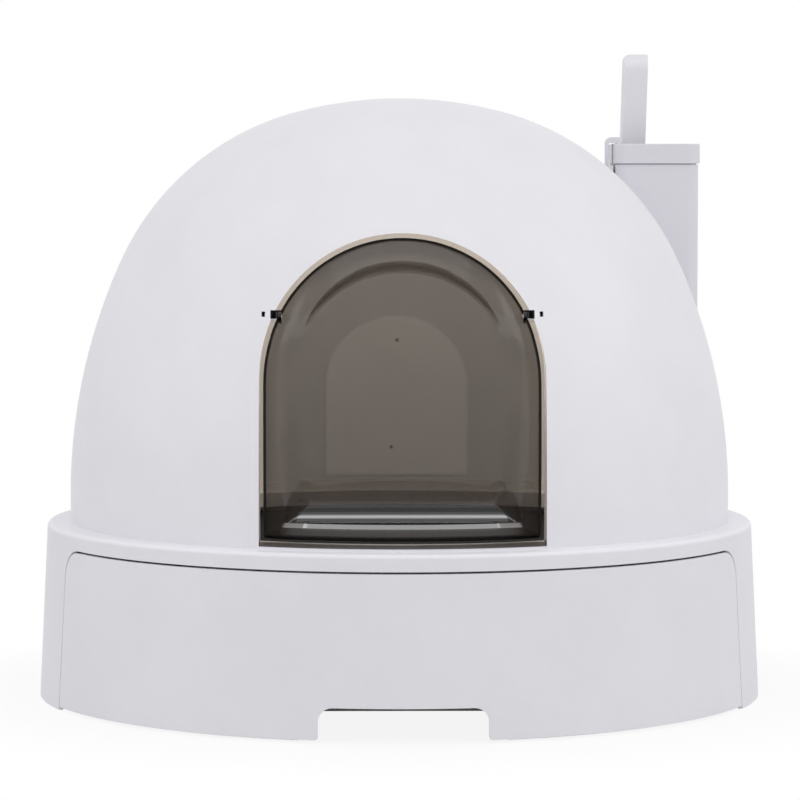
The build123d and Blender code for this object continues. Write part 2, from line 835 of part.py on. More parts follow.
with BuildPart() as litter_scoop:
    with BuildSketch(Plane.XZ.offset(-scoop_centre)):
        with BuildLine():
            Polyline(
                (blade_top_x, blade_top),
                (blade_foot_x, blade_foot),
                (blade_foot_x + blade_thickness, blade_foot),
                (blade_top_x + blade_thickness, blade_top),
                close=True,
            )
        make_face()
    extrude(amount=blade_width / 2, both=True)
    with BuildSketch(Plane.YZ.offset(blade_top_x)):
        with Locations((scoop_centre, blade_foot + slot_rise)):
            with GridLocations(slot_pitch, 0, slot_count, 1):
                SlotOverall(slot_length, slot_width, rotation=90)
    extrude(amount=blade_side_right - blade_top_x, mode=Mode.SUBTRACT)
    for side in (-1, 1):
        wall_plane = Plane.XZ.offset(-scoop_centre - side * (blade_width - blade_side_wall) / 2)
        with BuildSketch(wall_plane):
            with BuildLine():
                Polyline(
                    (blade_top_x, blade_top),
                    (blade_foot_x, blade_foot),
                    (blade_side_right, blade_foot),
                    (blade_side_right, blade_foot + blade_side_height),
                    (blade_top_x + blade_side_step, blade_top),
                    close=True,
                )
            make_face()
        extrude(amount=blade_side_wall / 2, both=True)
    add(handle_form(0, 0))
    add(handle_form(handle_wall, overrun), mode=Mode.SUBTRACT)


# Each piece goes into its own file under its own name
pieces = {
    "base_housing": base_housing,
    "base_plate": base_plate,
    "base_screws": base_screws,
    "litter_pan": litter_pan,
    "drawer_front": drawer_front,
    "dome_shell": dome_shell,
    "entry_flap": entry_flap,
    "holder_bucket": holder_bucket,
    "holder_collar": holder_collar,
    "holder_bracket": holder_bracket,
    "bracket_screws": bracket_screws,
    "litter_scoop": litter_scoop,
}
os.makedirs("parts", exist_ok=True)
for name, piece in pieces.items():
    piece.part.label = name
    export_step(piece.part, f"parts/{name}.step")
    print(name, len(piece.part.solids()), "solids", round(piece.part.volume / 1000, 1), "cm3")
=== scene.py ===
# %% [markdown]
# # A domed cat litter box, dressed for its portrait
#
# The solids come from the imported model, and this lesson gives them their surfaces: white moulded
# plastic, a smoked see-through flap, a dark pan and plated screws. It then adds the small marks
# that moulding leaves, a plain pale floor, soft light and a camera. Lengths are in metres. The
# front of the box faces -Y, +Z is up, and the origin is the middle of its underside.

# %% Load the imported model
import json
import math

import bmesh
import bpy
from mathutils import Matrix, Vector


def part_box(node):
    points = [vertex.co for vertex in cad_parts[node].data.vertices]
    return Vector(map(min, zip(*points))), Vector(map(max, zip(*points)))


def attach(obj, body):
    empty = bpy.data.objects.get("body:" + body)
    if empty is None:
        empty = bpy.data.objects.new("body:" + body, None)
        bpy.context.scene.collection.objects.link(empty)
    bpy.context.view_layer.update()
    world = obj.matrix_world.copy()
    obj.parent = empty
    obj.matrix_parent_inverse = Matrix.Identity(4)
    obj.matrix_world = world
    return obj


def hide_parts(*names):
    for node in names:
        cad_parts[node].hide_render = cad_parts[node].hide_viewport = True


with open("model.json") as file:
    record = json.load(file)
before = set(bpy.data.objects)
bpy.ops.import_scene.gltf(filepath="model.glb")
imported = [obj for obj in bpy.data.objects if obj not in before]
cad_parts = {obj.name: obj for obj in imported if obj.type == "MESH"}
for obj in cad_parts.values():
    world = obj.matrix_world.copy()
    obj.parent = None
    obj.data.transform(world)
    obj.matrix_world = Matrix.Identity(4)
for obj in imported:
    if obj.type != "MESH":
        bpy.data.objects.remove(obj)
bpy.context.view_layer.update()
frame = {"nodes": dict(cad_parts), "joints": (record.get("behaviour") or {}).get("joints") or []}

MM = 0.001

print("solids:", len(frame["nodes"]))

# %% [markdown]
# ## Shader maths as plain Python
#
# A node tree is easier to read as a formula. The class below wraps one socket. Adding or
# multiplying two of them makes the Math node, and `make` adds any other node. Its settings are set
# first, because some of them decide which sockets the node has.

# %% A socket that can be used in a formula
def chosen(sockets, name):
    """The socket with that name or number among those in use, or None past the last number."""
    used = [socket for socket in sockets if socket.enabled]
    if isinstance(name, int):
        return used[name] if name < len(used) else None
    return next(socket for socket in used if socket.name == name)


class Wire:
    """One output socket of a node tree, with Python's operators for its maths."""

    def __init__(self, tree, socket=None):
        self.tree = tree
        self.socket = socket

    def make(self, kind, settings=None, sockets=None, out=0):
        """Adds a node: its settings, then its sockets' values or links. Gives the chosen output."""
        node = self.tree.nodes.new(kind)
        for name, value in (settings or {}).items():
            setattr(node, name, value)
        for name, value in (sockets or {}).items():
            target = chosen(node.inputs, name)
            if isinstance(value, Wire):
                self.tree.links.new(value.socket, target)
            else:
                target.default_value = value
        return Wire(self.tree, chosen(node.outputs, out))

    def maths(self, operation, *values):
        return self.make("ShaderNodeMath", {"operation": operation}, dict(enumerate(values)))

    def __add__(self, other):
        return self.maths("ADD", self, other)

    __radd__ = __add__

    def __mul__(self, other):
        return self.maths("MULTIPLY", self, other)

    __rmul__ = __mul__

    def __sub__(self, other):
        return self.maths("SUBTRACT", self, other)

    def __rsub__(self, other):
        return self.maths("SUBTRACT", other, self)

    def __abs__(self):
        return self.maths("ABSOLUTE", self)

    def at_least(self, other):
        return self.maths("MAXIMUM", self, other)

    def at_most(self, other):
        return self.maths("MINIMUM", self, other)


print("the class Wire is ready")

# %% [markdown]
# ## Small formulas
#
# These are the words that the finishes below are written in: a smooth step, a mix of two colours,
# the parts of a vector, and the ends of a material, which are the same for each finish.

# %% Formulas and the ends of a material
def step(value, low, high):
    """0 where value is below low, 1 above high, and smooth between."""
    return value.make(
        "ShaderNodeMapRange",
        {"interpolation_type": "SMOOTHSTEP"},
        {"Value": value, "From Min": low, "From Max": high},
    )


def between(value, low, high, blur=0.4 * MM):
    """1 where value lies between low and high, and 0 outside."""
    return step(value, low - blur, low + blur) * (1 - step(value, high - blur, high + blur))


def opaque(colour, factor=1.0):
    """The colour times factor, with full alpha."""
    return tuple(min(1.0, part * factor) for part in colour) + (1.0,)


def shade_between(factor, first, second):
    """A colour that goes from first to second with factor."""
    sockets = {"Factor": factor, "A": first, "B": second}
    return factor.make("ShaderNodeMix", {"data_type": "RGBA"}, sockets, "Result")


def parts(vector):
    """The X, Y and Z of a vector."""
    return [vector.make("ShaderNodeSeparateXYZ", None, {"Vector": vector}, axis) for axis in "XYZ"]


def distance(across, along):
    """Length of the long side of a right-angled triangle."""
    return across.maths("SQRT", across * across + along * along)


def arch_reach(x, z, spring):
    """How far out a point is in an arch: sideways below the height spring, all round above it."""
    return distance(x, (z - spring).at_least(0.0))


def blank_finish(name):
    """A new material without nodes, and its tree as a Wire."""
    material = bpy.data.materials.new(name)
    material.use_nodes = True
    material.node_tree.nodes.clear()
    return material, Wire(material.node_tree)


def bump(height, strength, reach):
    """Tilts the surface's direction as if it were raised by height, up to reach metres."""
    sockets = {"Strength": strength, "Distance": reach, "Height": height}
    return height.make("ShaderNodeBump", None, sockets)


def principled(material, wires, sockets):
    """Ends a material with the Principled shader and gives it back."""
    shader = wires.make("ShaderNodeBsdfPrincipled", None, sockets)
    wires.make("ShaderNodeOutputMaterial", None, {"Surface": shader})
    return material


print("formulas ready")

# %% [markdown]
# ## Noise and masks
#
# A mask is 1 where a finish has a special tone and 0 elsewhere. Two masks come from the way that a
# face looks. Edges show where a rounded copy of the surface turns away from the real one. The
# inside of a shell shows where a face looks back at the middle.

# %% Noise and masks
def noise(place, size, detail=2.0, roughness=0.5):
    """Noise from 0 to 1 whose blobs are about size metres across."""
    sockets = {"Vector": place, "Scale": 1 / size, "Detail": detail, "Roughness": roughness}
    return place.make("ShaderNodeTexNoise", {"noise_dimensions": "3D"}, sockets, "Fac")


def agreement(first, second):
    """1 where two directions are the same, 0 where they are square on, -1 where they oppose."""
    sockets = {0: first, 1: second}
    return first.make("ShaderNodeVectorMath", {"operation": "DOT_PRODUCT"}, sockets, "Value")


def edge_mask(wires, reach):
    """1 on edges that are sharper than reach metres, and 0 on open faces."""
    rounded = wires.make("ShaderNodeBevel", {"samples": 4}, {"Radius": reach})
    real = wires.make("ShaderNodeNewGeometry", out="Normal")
    return step(1 - agreement(rounded, real), 0.02, 0.25)


def inside_mask(place, centre):
    """1 on faces that look towards centre, such as the inside of a shell, and 0 on outer faces."""
    away = place.make("ShaderNodeVectorMath", {"operation": "SUBTRACT"}, {0: place, 1: centre})
    ray = place.make("ShaderNodeVectorMath", {"operation": "NORMALIZE"}, {0: away})
    face = place.make("ShaderNodeNewGeometry", out="True Normal")
    return step(0 - agreement(ray, face), 0.05, 0.3)


print("noise and masks ready")

# %% [markdown]
# ## Places with painted light and shade
#
# The inside of the dome has painted warm shade, as if lit through the smoked flap. The panel in its
# back wall is painted lighter, as a glow through its thinner wall, and the sill is in deep shade,
# which is painted too. Beside each of the flap's pins there is a small notch and a slit, and both
# are holes painted black as their shade. The base's ledge has painted light on its top, and the
# skirt under it is in painted shade.
#
# Such tones could be painted on a picture that is wrapped round the piece. A mask made of places
# needs no wrapping and stays sharp from close by, so that way was chosen.

# %% Tones inside the dome and the base
HINGE = next(joint for joint in frame["joints"] if joint["name"] == "flap_hinge")["pos_m"]

BASE_WHITE = (0.785, 0.778, 0.820)
# painted warm shade for faces inside the shell, as if lit through the smoked flap
INSIDE_PAINTED_WARM_SHADE = (0.63, 0.585, 0.54)
SKIRT_SHADE = (0.40, 0.37, 0.345)
SILL_SHADE = (0.055, 0.051, 0.047)
# painted shade: the notch and slit beside each pin are painted black as the dark inside the holes
HOLE_PAINTED_SHADE = (0.004, 0.004, 0.004)
# painted light: the back panel is lighter, as a glow through its thinner wall
PANEL_PAINTED_GLOW = 1.28
# painted light: the ledge's top is lighter where light falls on it
LEDGE_PAINTED_LIGHT = 1.09

DOME_MIDDLE = (0.0, 0.0, 0.20)
PANEL_HALF_WIDTH = 0.058
PANEL_SPRING = 0.215
PANEL_FOOT = 0.1415
PANEL_BLUR = 1.2 * MM
PANEL_FOOT_BLUR = 3 * MM
BACK_HALF = (0.0, 0.01)
SILL_TOP = 0.1336
SILL_FRONT = (0.19, 0.20)
NOTCH_REACH = (0.0855, 0.0917)
NOTCH_HALF_HEIGHT = 3.0 * MM
SLIT_REACH = (0.0954, 0.0979)
SLIT_HALF_HEIGHT = 1.8 * MM
HOLE_FRONT = (0.18, 0.185)
RING_RADIUS = 0.2428
RING_BLUR = 0.3 * MM
LEDGE_TOP = 0.1295
LEDGE_EDGE = 1 * MM
LEDGE_FADE = 4 * MM


def pin_openings(place):
    """1 on the notch and the slit beside each of the flap's pins, and 0 elsewhere."""
    x, y, z = parts(place)
    along, level = abs(x), abs(z - HINGE[2])
    notch = between(along, *NOTCH_REACH) * between(level, -1, NOTCH_HALF_HEIGHT)
    slit = between(along, *SLIT_REACH) * between(level, -1, SLIT_HALF_HEIGHT)
    return notch.at_least(slit) * step(0 - y, *HOLE_FRONT)


def dome_tones(place, colour):
    """Paints light and shade on the dome's inside, its back panel and sill, and on the openings
    beside the pins.
    """
    x, y, z = parts(place)
    panel = between(arch_reach(x, z, PANEL_SPRING), -1, PANEL_HALF_WIDTH, PANEL_BLUR)
    panel = panel * between(z, PANEL_FOOT, 1, PANEL_FOOT_BLUR) * step(y, *BACK_HALF)
    # painted glow on the back panel, lighter than the rest of the inside
    inner = shade_between(panel, opaque(INSIDE_PAINTED_WARM_SHADE), opaque(INSIDE_PAINTED_WARM_SHADE, PANEL_PAINTED_GLOW))
    sill = step(0 - y, *SILL_FRONT) * between(z, 0, SILL_TOP)
    inner = shade_between(sill, inner, opaque(SILL_SHADE))
    # painted warm shade on the faces that look into the shell
    colour = shade_between(inside_mask(place, DOME_MIDDLE), colour, inner)
    # painted shade in the openings beside the pins
    return shade_between(pin_openings(place), colour, opaque(HOLE_PAINTED_SHADE))


def base_tones(place, colour):
    """Paints warm shade on the housing within the dome, shade on its skirt, and light on its ledge.
    """
    x, y, z = parts(place)
    ledge = step(z, LEDGE_TOP - LEDGE_FADE, LEDGE_TOP - LEDGE_EDGE)
    # painted light on the top of the ledge
    colour = shade_between(ledge, colour, opaque(BASE_WHITE, LEDGE_PAINTED_LIGHT))
    ring = step(z, LEDGE_TOP - LEDGE_EDGE, LEDGE_TOP)
    # painted warm shade inside the dome above the ledge, painted shade on the skirt below it
    inner = shade_between(ring, opaque(SKIRT_SHADE), opaque(INSIDE_PAINTED_WARM_SHADE))
    within = 1 - step(distance(x, y), RING_RADIUS, RING_RADIUS + RING_BLUR)
    return shade_between(within, colour, inner)


print("tones ready; the ledge is at", LEDGE_TOP, "and the flap's hinge at", HINGE)

# %% [markdown]
# ## White moulded plastic
#
# The dome, the base and the scoop holder are satin white plastic with a faint cool tint. Such
# plastic is never one flat colour: it has a fine grain from the mould, slow waves where it shrank
# as it cooled, and edges that handling has polished a little. One function makes the finish, and
# each piece asks for its own tint, because parts from different moulds differ slightly. The grain
# and the waves go into one Bump node. The colour changes only by a percent or two.

# %% The white plastic
DOME_WHITE = (0.812, 0.803, 0.845)
HOLDER_WHITE = (0.725, 0.715, 0.765)
SCOOP_WHITE = (0.78, 0.77, 0.82)

GRAIN_SIZE = 1.1 * MM
GRAIN_DEPTH, GRAIN_STRENGTH = 0.4 * MM, 0.12
WAVE_SIZE = 0.07
CLOUD_SIZE = WAVE_SIZE / 3
EDGE_SIZE = 1.2 * MM
EDGE_SHARE = 0.35
DEEPER, LIGHTER, POLISHED = 0.982, 1.012, 1.05


def white_plastic(name, tint, tones=None, holes=None, roughness=0.42):
    """Satin white moulded plastic.

    tones is a function that paints light and shade on parts of the piece. holes gives the mask of
    openings that are painted black as their shade: they are made metal, because a black metal has
    no shine of its own.
    """
    material, wires = blank_finish(name)
    place = wires.make("ShaderNodeTexCoord", out="Object")
    grain = noise(place, GRAIN_SIZE)
    wave = noise(place, WAVE_SIZE, 1.0)
    cloud = noise(place, CLOUD_SIZE, 3.0, 0.6)
    edges = edge_mask(wires, EDGE_SIZE)
    drift = step(0.6 * wave + 0.4 * cloud, 0.3, 0.7)
    colour = shade_between(drift, opaque(tint, DEEPER), opaque(tint, LIGHTER))
    colour = shade_between(edges * EDGE_SHARE, colour, opaque(tint, POLISHED))
    if tones:
        colour = tones(place, colour)
    return principled(material, wires, {
        "Base Color": colour,
        "Metallic": holes(place) if holes else 0.0,
        "Roughness": roughness + 0.08 * cloud - 0.1 * edges,
        "IOR": 1.46,
        "Normal": bump(grain + 1.5 * wave, GRAIN_STRENGTH, GRAIN_DEPTH),
    })


whites = {
    "dome_shell": white_plastic("dome white", DOME_WHITE, dome_tones, pin_openings),
    "base_housing": white_plastic("base white", BASE_WHITE, base_tones),
    "base_plate": white_plastic("floor plate white", BASE_WHITE),
    "drawer_front": white_plastic("drawer white", BASE_WHITE),
    "holder_bucket": white_plastic("holder white", HOLDER_WHITE),
    "holder_collar": white_plastic("collar white", HOLDER_WHITE),
    "holder_bracket": white_plastic("bracket white", HOLDER_WHITE),
    "litter_scoop": white_plastic("scoop white", SCOOP_WHITE, roughness=0.34),
}
print("white finishes:", len(whites))

# %% [markdown]
# ## Smoked clear plastic: where it is dark
#
# The flap is tinted clear plastic, two and a half millimetres thick. The rim, the foot, the ears
# and the pins are thick or seen edge-on, so they look nearly black. Their masks come from places
# and from the face's own direction, so they stay right from every side. Below the hinge the flap
# is a little wider than its solid, and the rim's mask allows for that.

# %% The flap's solid parts
FLAP_LOW, FLAP_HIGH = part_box("entry_flap")
HALF_WIDTH = FLAP_HIGH.x
SPRING = FLAP_HIGH.z - HALF_WIDTH
WIDENING = 0.010
WIDE_END = (SPRING - 10 * MM, SPRING + 25 * MM)
RIM_START = HALF_WIDTH - 2.3 * MM
FOOT_END = FLAP_LOW.z + 2.3 * MM
EAR_START = 83.8 * MM
EAR_REACH = 7.5 * MM
SOLID_BLUR = 0.7 * MM


def flap_solid_mask(place, face):
    """1 on the flap's rim, foot, ears, pins and edges, and 0 on its clear faces."""
    x, y, z = parts(place)
    narrowed = x * (1 - WIDENING * (1 - step(z, *WIDE_END)))
    rim = step(arch_reach(narrowed, z, SPRING), RIM_START, RIM_START + SOLID_BLUR)
    foot = 1 - step(z, FOOT_END - SOLID_BLUR, FOOT_END)
    off_hinge = distance(y - HINGE[1], z - HINGE[2])
    ear = 1 - step(off_hinge, EAR_REACH, EAR_REACH + SOLID_BLUR)
    ear = ear * step(abs(x), EAR_START, EAR_START + SOLID_BLUR)
    edge = 1 - step(abs(parts(face)[1]), 0.05, 0.2)
    return rim.at_least(foot).at_least(ear.at_least(edge))


print("flap from", round(FLAP_LOW.z, 4), "to", round(FLAP_HIGH.z, 4), "arch from", round(SPRING, 4))

# %% [markdown]
# ## Smoked clear plastic: how much passes
#
# Glass shaders are slow and noisy through two curved faces, so each face lets about half of the
# light straight through with Alpha, and the two together pass a quarter of it. Alpha counts what a
# face keeps back. Slanted faces, such as the window's bevels, keep back more, because the way
# through them is longer.
#
# The shelf under the window has a look of its own. Its upper faces are dark, and the steepest of
# them also have a coat, which adds to their shine, so that they mirror the lamp above the door.
# Its edge carries a light line: the lamp's reflection in the middle, and a painted highlight at its
# ends, because the doorway hides the lamp from them. The face below the edge has painted light, a
# grey band where light falling on the shelf shows through.

# %% The smoked plastic
SMOKE = (0.042, 0.031, 0.026)
SMOKE_DEEPER = 0.85
SOLID_TONE = (0.006, 0.006, 0.006)
# painted light: a grey band under the shelf's edge, where light on the shelf shows through
LIP_PAINTED_LIGHT = (0.155, 0.146, 0.140)
SHELF_TONE = (0.008, 0.007, 0.007)
# painted highlight for the ends of the shelf edge's light line
EDGE_PAINTED_HIGHLIGHT = (0.32, 0.31, 0.31)

SHELF_HEIGHT = FLAP_LOW.z + 11.5 * MM
SHELF_EDGE = (SHELF_HEIGHT - 3.2 * MM, SHELF_HEIGHT)
EDGE_BLUR = 0.2 * MM
EDGE_ENDS = (66.5 * MM, 83 * MM)
ENDS_BLUR = 1.5 * MM
SHELF_END = (FLAP_LOW.z + 27 * MM, FLAP_LOW.z + 30 * MM)
LIP_LEVELS = (FLAP_LOW.z + 3.0 * MM, FLAP_LOW.z + 8.6 * MM)
LIP_BLUR = 0.9 * MM
LIP_FADE = (76 * MM, 90 * MM)
BAND_START = (80 * MM, 88 * MM)

STREAK_SIZE, HAZE_SIZE = 0.03, 0.008
STREAK_DEPTH, STREAK_STRENGTH = 0.8 * MM, 0.05
STEEP_FROM, UPWARD_FROM, GLOSSY_FROM = (0.47, 0.60), (0.36, 0.44), (0.56, 0.58)
FACE_KEEPS = 0.50
STREAKS_KEEP = 0.02
SLANT_KEEPS = 0.30
STEEP_KEEPS = 0.08
SHELF_KEEPS = 0.32
LIP_KEEPS = 0.30
BAND_TOP_KEEPS, BAND_PASSES = 0.16, 0.05
EDGE_DULLER = 0.6


def smoked_plastic(name):
    """Smoke-tinted clear plastic for the flap."""
    material, wires = blank_finish(name)
    place = wires.make("ShaderNodeTexCoord", out="Object")
    face = wires.make("ShaderNodeTexCoord", out="Normal")
    x, _, z = parts(place)
    _, forward, up = parts(face)
    streak = noise(place, STREAK_SIZE)
    haze = noise(place, HAZE_SIZE, 3.0, 0.6)

    solid = flap_solid_mask(place, face)
    at_shelf = 1 - step(z, *SHELF_END)
    upward = at_shelf * step(up, *UPWARD_FROM)
    glossy = at_shelf * step(up, *GLOSSY_FROM)
    edge = between(z, *SHELF_EDGE, EDGE_BLUR)
    painted_highlight_ends = edge * between(abs(x), *EDGE_ENDS, ENDS_BLUR)
    lip = between(z, *LIP_LEVELS, LIP_BLUR) * (1 - step(abs(x), *LIP_FADE))
    band = step(arch_reach(x, z, SPRING), *BAND_START)
    high = step(z, HINGE[2], FLAP_HIGH.z)

    colour = shade_between(streak, opaque(SMOKE, SMOKE_DEEPER), opaque(SMOKE))
    # painted light on the face below the shelf's edge
    colour = shade_between(lip, colour, opaque(LIP_PAINTED_LIGHT))
    colour = shade_between(upward, colour, opaque(SHELF_TONE))
    # painted highlight at the ends of the edge, where the doorway hides the lamp
    colour = shade_between(painted_highlight_ends, colour, opaque(EDGE_PAINTED_HIGHLIGHT))
    colour = shade_between(solid, colour, opaque(SOLID_TONE))

    keeps = FACE_KEEPS + STREAKS_KEEP * streak + SLANT_KEEPS * (1 - abs(forward))
    keeps = keeps + STEEP_KEEPS * step(abs(up), *STEEP_FROM)
    keeps = keeps + SHELF_KEEPS * upward + LIP_KEEPS * lip
    keeps = keeps + band * (BAND_TOP_KEEPS * high - BAND_PASSES)
    return principled(material, wires, {
        "Base Color": colour,
        "Roughness": 0.03 + 0.03 * haze,
        "Alpha": (keeps * (1 - solid) + solid).at_most(1.0),
        "IOR": 1.5,
        "Coat Weight": glossy * (1 - EDGE_DULLER * edge),
        "Coat Roughness": 0.03,
        "Normal": bump(streak, STREAK_STRENGTH, STREAK_DEPTH),
    })


flap_finish = smoked_plastic("smoked clear")
print("flap finish:", flap_finish.name)

# %% [markdown]
# ## Dark pan and plated screws
#
# The pan is dark grey plastic with a coarser grain, which hides scratches from the scoop.
# Scratches run along its floor, so a stretched noise lightens thin lines of it. The screws are
# zinc plated: a metal whose roughness wanders, with a faint play between warm and cool.

# %% The dark plastic and the metal
PAN_GREY = (0.060, 0.060, 0.062)
MARK_BROWN = (0.020, 0.018, 0.017)
ZINC_COOL, ZINC_WARM = (0.52, 0.53, 0.56), (0.64, 0.62, 0.60)
PAN_GRAIN_SIZE = 1.6 * MM
PAN_GRAIN_DEPTH, PAN_GRAIN_STRENGTH = 0.4 * MM, 0.2
PAN_CLOUD_SIZE, SCRATCH_SIZE, ZINC_CLOUD_SIZE = 0.05, 0.05, 0.004
SCRATCH_TURN = (0, 0, 0.6)
SCRATCH_STRETCH = (1.0, 0.03, 0.3)


def dark_plastic(name, tint):
    """Dark moulded plastic with a coarse grain and fine scratches."""
    material, wires = blank_finish(name)
    place = wires.make("ShaderNodeTexCoord", out="Object")
    grain = noise(place, PAN_GRAIN_SIZE)
    cloud = noise(place, PAN_CLOUD_SIZE, 3.0)
    turned = wires.make(
        "ShaderNodeMapping", {"vector_type": "TEXTURE"},
        {"Vector": place, "Rotation": SCRATCH_TURN, "Scale": SCRATCH_STRETCH},
    )
    scratches = step(noise(turned, SCRATCH_SIZE, 3.0, 0.65), 0.62, 0.72)
    colour = shade_between(cloud, opaque(tint, 0.88), opaque(tint))
    colour = shade_between(scratches * 0.25, colour, opaque(tint, 1.9))
    return principled(material, wires, {
        "Base Color": colour,
        "Roughness": 0.46 + 0.12 * cloud + 0.1 * scratches,
        "Normal": bump(grain - 0.5 * scratches, PAN_GRAIN_STRENGTH, PAN_GRAIN_DEPTH),
    })


def zinc_plate(name):
    """Zinc-plated steel."""
    material, wires = blank_finish(name)
    place = wires.make("ShaderNodeTexCoord", out="Object")
    cloud = noise(place, ZINC_CLOUD_SIZE, 3.0)
    return principled(material, wires, {
        "Base Color": shade_between(cloud, opaque(ZINC_COOL), opaque(ZINC_WARM)),
        "Metallic": 1.0,
        "Roughness": 0.26 + 0.18 * cloud,
    })


pan_finish = dark_plastic("pan grey", PAN_GREY)
mark_finish = dark_plastic("gate mark", MARK_BROWN)
screw_finish = zinc_plate("zinc plate")
print("other finishes:", pan_finish.name, mark_finish.name, screw_finish.name)

# %% [markdown]
# ## Each solid gets its finish
#
# The solids keep their shape. Assigning a material and smooth shading changes only how light falls
# on them. Smooth shading with a limit on the angle keeps the real edges crisp and lets the dome's
# facets melt into one surface.

# %% Dress the solids
SMOOTH_UNDER = math.radians(24)

finishes = {
    **whites,
    "entry_flap": flap_finish,
    "litter_pan": pan_finish,
    "base_screws": screw_finish,
    "bracket_screws": screw_finish,
}
for name, solid in frame["nodes"].items():
    solid.data.materials.clear()
    solid.data.materials.append(finishes[name])
    solid.data.shade_smooth()
    solid.data.set_sharp_from_angle(angle=SMOOTH_UNDER)
print("dressed:", ", ".join(sorted(frame["nodes"])))

# %% [markdown]
# ## The flap, with its moulded transitions
#
# The solid flap has the right form with crisp edges all round its window. On the real one the
# window melts into the curved face at the sides, stays crisp in a crescent at the top, and ends at
# its foot in a small shelf. So a new mesh takes the flap's place. Its outer face is a formula,
# from x and z to depth, with these parts:
#
# - the belly, which is curved in both directions
# - the window, a flat face that leans forward at its top and stands proud of the belly there
# - the bevel beside the window, soft at the sides and crisp above, with a fine groove in its crease
# - the shelf: three sloping faces under the window, a flat top, and a chamfer along its edge. The
#   slope of the middle face and of the chamfer is the one that mirrors the lamp above the door.

# %% Sizes of the flap
THICKNESS = 2.5 * MM
INNER_DROP = 1.6 * MM
PLAN_RADIUS = 24.2 * MM - HINGE[1]
BELLY_RADIUS = 335 * MM
BELLY_HEIGHT = FLAP_LOW.z + 66.5 * MM

WINDOW_RADIUS = 76.3 * MM
WINDOW_HEIGHT = FLAP_LOW.z + 112 * MM
WINDOW_DEPTH = PLAN_RADIUS - 22.6 * MM
WINDOW_FOOT = FLAP_LOW.z + 24.5 * MM
WINDOW_LEAN = math.radians(7.4)
WINDOW_TAPER = math.radians(7.8)
PROUD_SLOPE = 2.2

CRISP = 0.3 * MM
SOFT = 9 * MM
SOFT_BELOW = (12 * MM, 52 * MM)
SOFT_ABOVE = (WINDOW_FOOT - 2 * MM, WINDOW_FOOT + 26 * MM)
GROOVE_DEPTH = 0.9 * MM
GROOVE_WIDTH = 0.7 * MM
GROOVE_START = (30 * MM, 60 * MM)

SHELF_SLOPES = [
    (drop * MM, math.radians(slope))
    for drop, slope in ((0, 28), (8.2, 43.3), (10.2, 45.0), (13, 52))
]
SHELF_SPREAD = 0.45
SHELF_CHAMFER = 3 * MM
CHAMFER_SLOPE = 1.011
CHAMFER_EASE = 0.063
CHAMFER_REACH = 82 * MM
print("window's foot at", round(WINDOW_FOOT, 4), "shelf at", round(SHELF_HEIGHT, 4))

# %% [markdown]
# ## From x and z to depth
#
# Where two faces meet, the one in front wins, which is the larger of two numbers. A hard maximum
# gives a crisp edge. A soft one spreads the change over a few millimetres, and that is what a
# mould's rounded transition looks like. A bevel modifier could round the edges too, but its width
# can't go from nine millimetres to nothing along one edge as the width of a soft maximum can.

# %% The flap's outer face as a formula
def ease(value, low, high):
    """0 below low, 1 above high, and smooth between."""
    share = min(1, max(0, (value - low) / (high - low)))
    return share * share * (3 - 2 * share)


def soft_max(first, second, blend):
    """The larger of two numbers, with the change from one to the other spread over blend."""
    return (first + second + math.hypot(first - second, blend)) / 2


def belly(x, z):
    """Depth of the flap's curved face."""
    reach = PLAN_RADIUS - BELLY_RADIUS + math.sqrt(BELLY_RADIUS**2 - (z - BELLY_HEIGHT) ** 2)
    return -math.sqrt(reach**2 - x**2)


def shelf_rise(drop):
    """How far the faces under the window have come forward, drop below the window's foot."""
    rise = 0
    for (start, low), (end, high) in zip(SHELF_SLOPES, SHELF_SLOPES[1:]):
        if drop > start:
            turn = (high - low) / (end - start)
            reached = low + turn * (min(drop, end) - start)
            rise += math.log(math.cos(low) / math.cos(reached)) / turn
    return rise


def beside_window(x, rise):
    """How far a point is outside the window, rise above the middle of its round top."""
    if rise > -abs(x) * math.tan(WINDOW_TAPER):
        return math.hypot(x, rise) - WINDOW_RADIUS
    return abs(x) * math.cos(WINDOW_TAPER) - rise * math.sin(WINDOW_TAPER) - WINDOW_RADIUS


def flap_depth(x, z):
    """Y of the flap's outer face, which is most negative at the front."""
    window = -WINDOW_DEPTH - math.tan(WINDOW_LEAN) * (z - WINDOW_HEIGHT)
    rise = (z - WINDOW_HEIGHT) / math.cos(WINDOW_LEAN)
    beside = beside_window(x, rise)
    low_side = 1 - ease(rise, *SOFT_BELOW)
    blend = CRISP + (SOFT - CRISP) * low_side * ease(z, *SOFT_ABOVE)
    bevel = soft_max(beside, 0, blend)
    if z < WINDOW_FOOT:
        drop = WINDOW_FOOT - z
        bevel = max(soft_max(beside - SHELF_SPREAD * drop, 0, CRISP), shelf_rise(drop))
    depth = soft_max(belly(x, z), window - bevel, blend)
    proud = window + PROUD_SLOPE * bevel
    depth = -soft_max(-depth, -proud, blend)
    if beside > 0 and rise > 0:
        off_crease = (belly(x, z) - proud) / GROOVE_WIDTH
        depth += GROOVE_DEPTH * math.exp(-off_crease**2) * ease(rise, *GROOVE_START)
    if z < SHELF_HEIGHT:
        slope = CHAMFER_SLOPE * (1 - CHAMFER_EASE * (x / CHAMFER_REACH) ** 2)
        depth = min(depth, belly(x, z) + slope * max(0, z - SHELF_HEIGHT + SHELF_CHAMFER))
    return depth


EDGE_STEP = 0.05 * MM

window_set_back = flap_depth(0, WINDOW_FOOT) - belly(0, WINDOW_FOOT)
shelf_top = flap_depth(0, SHELF_HEIGHT) - flap_depth(0, SHELF_HEIGHT - EDGE_STEP)
print("window's foot is set back", round(window_set_back / MM, 1), "mm")
print("shelf's flat top is", round(shelf_top / MM, 1), "mm deep")

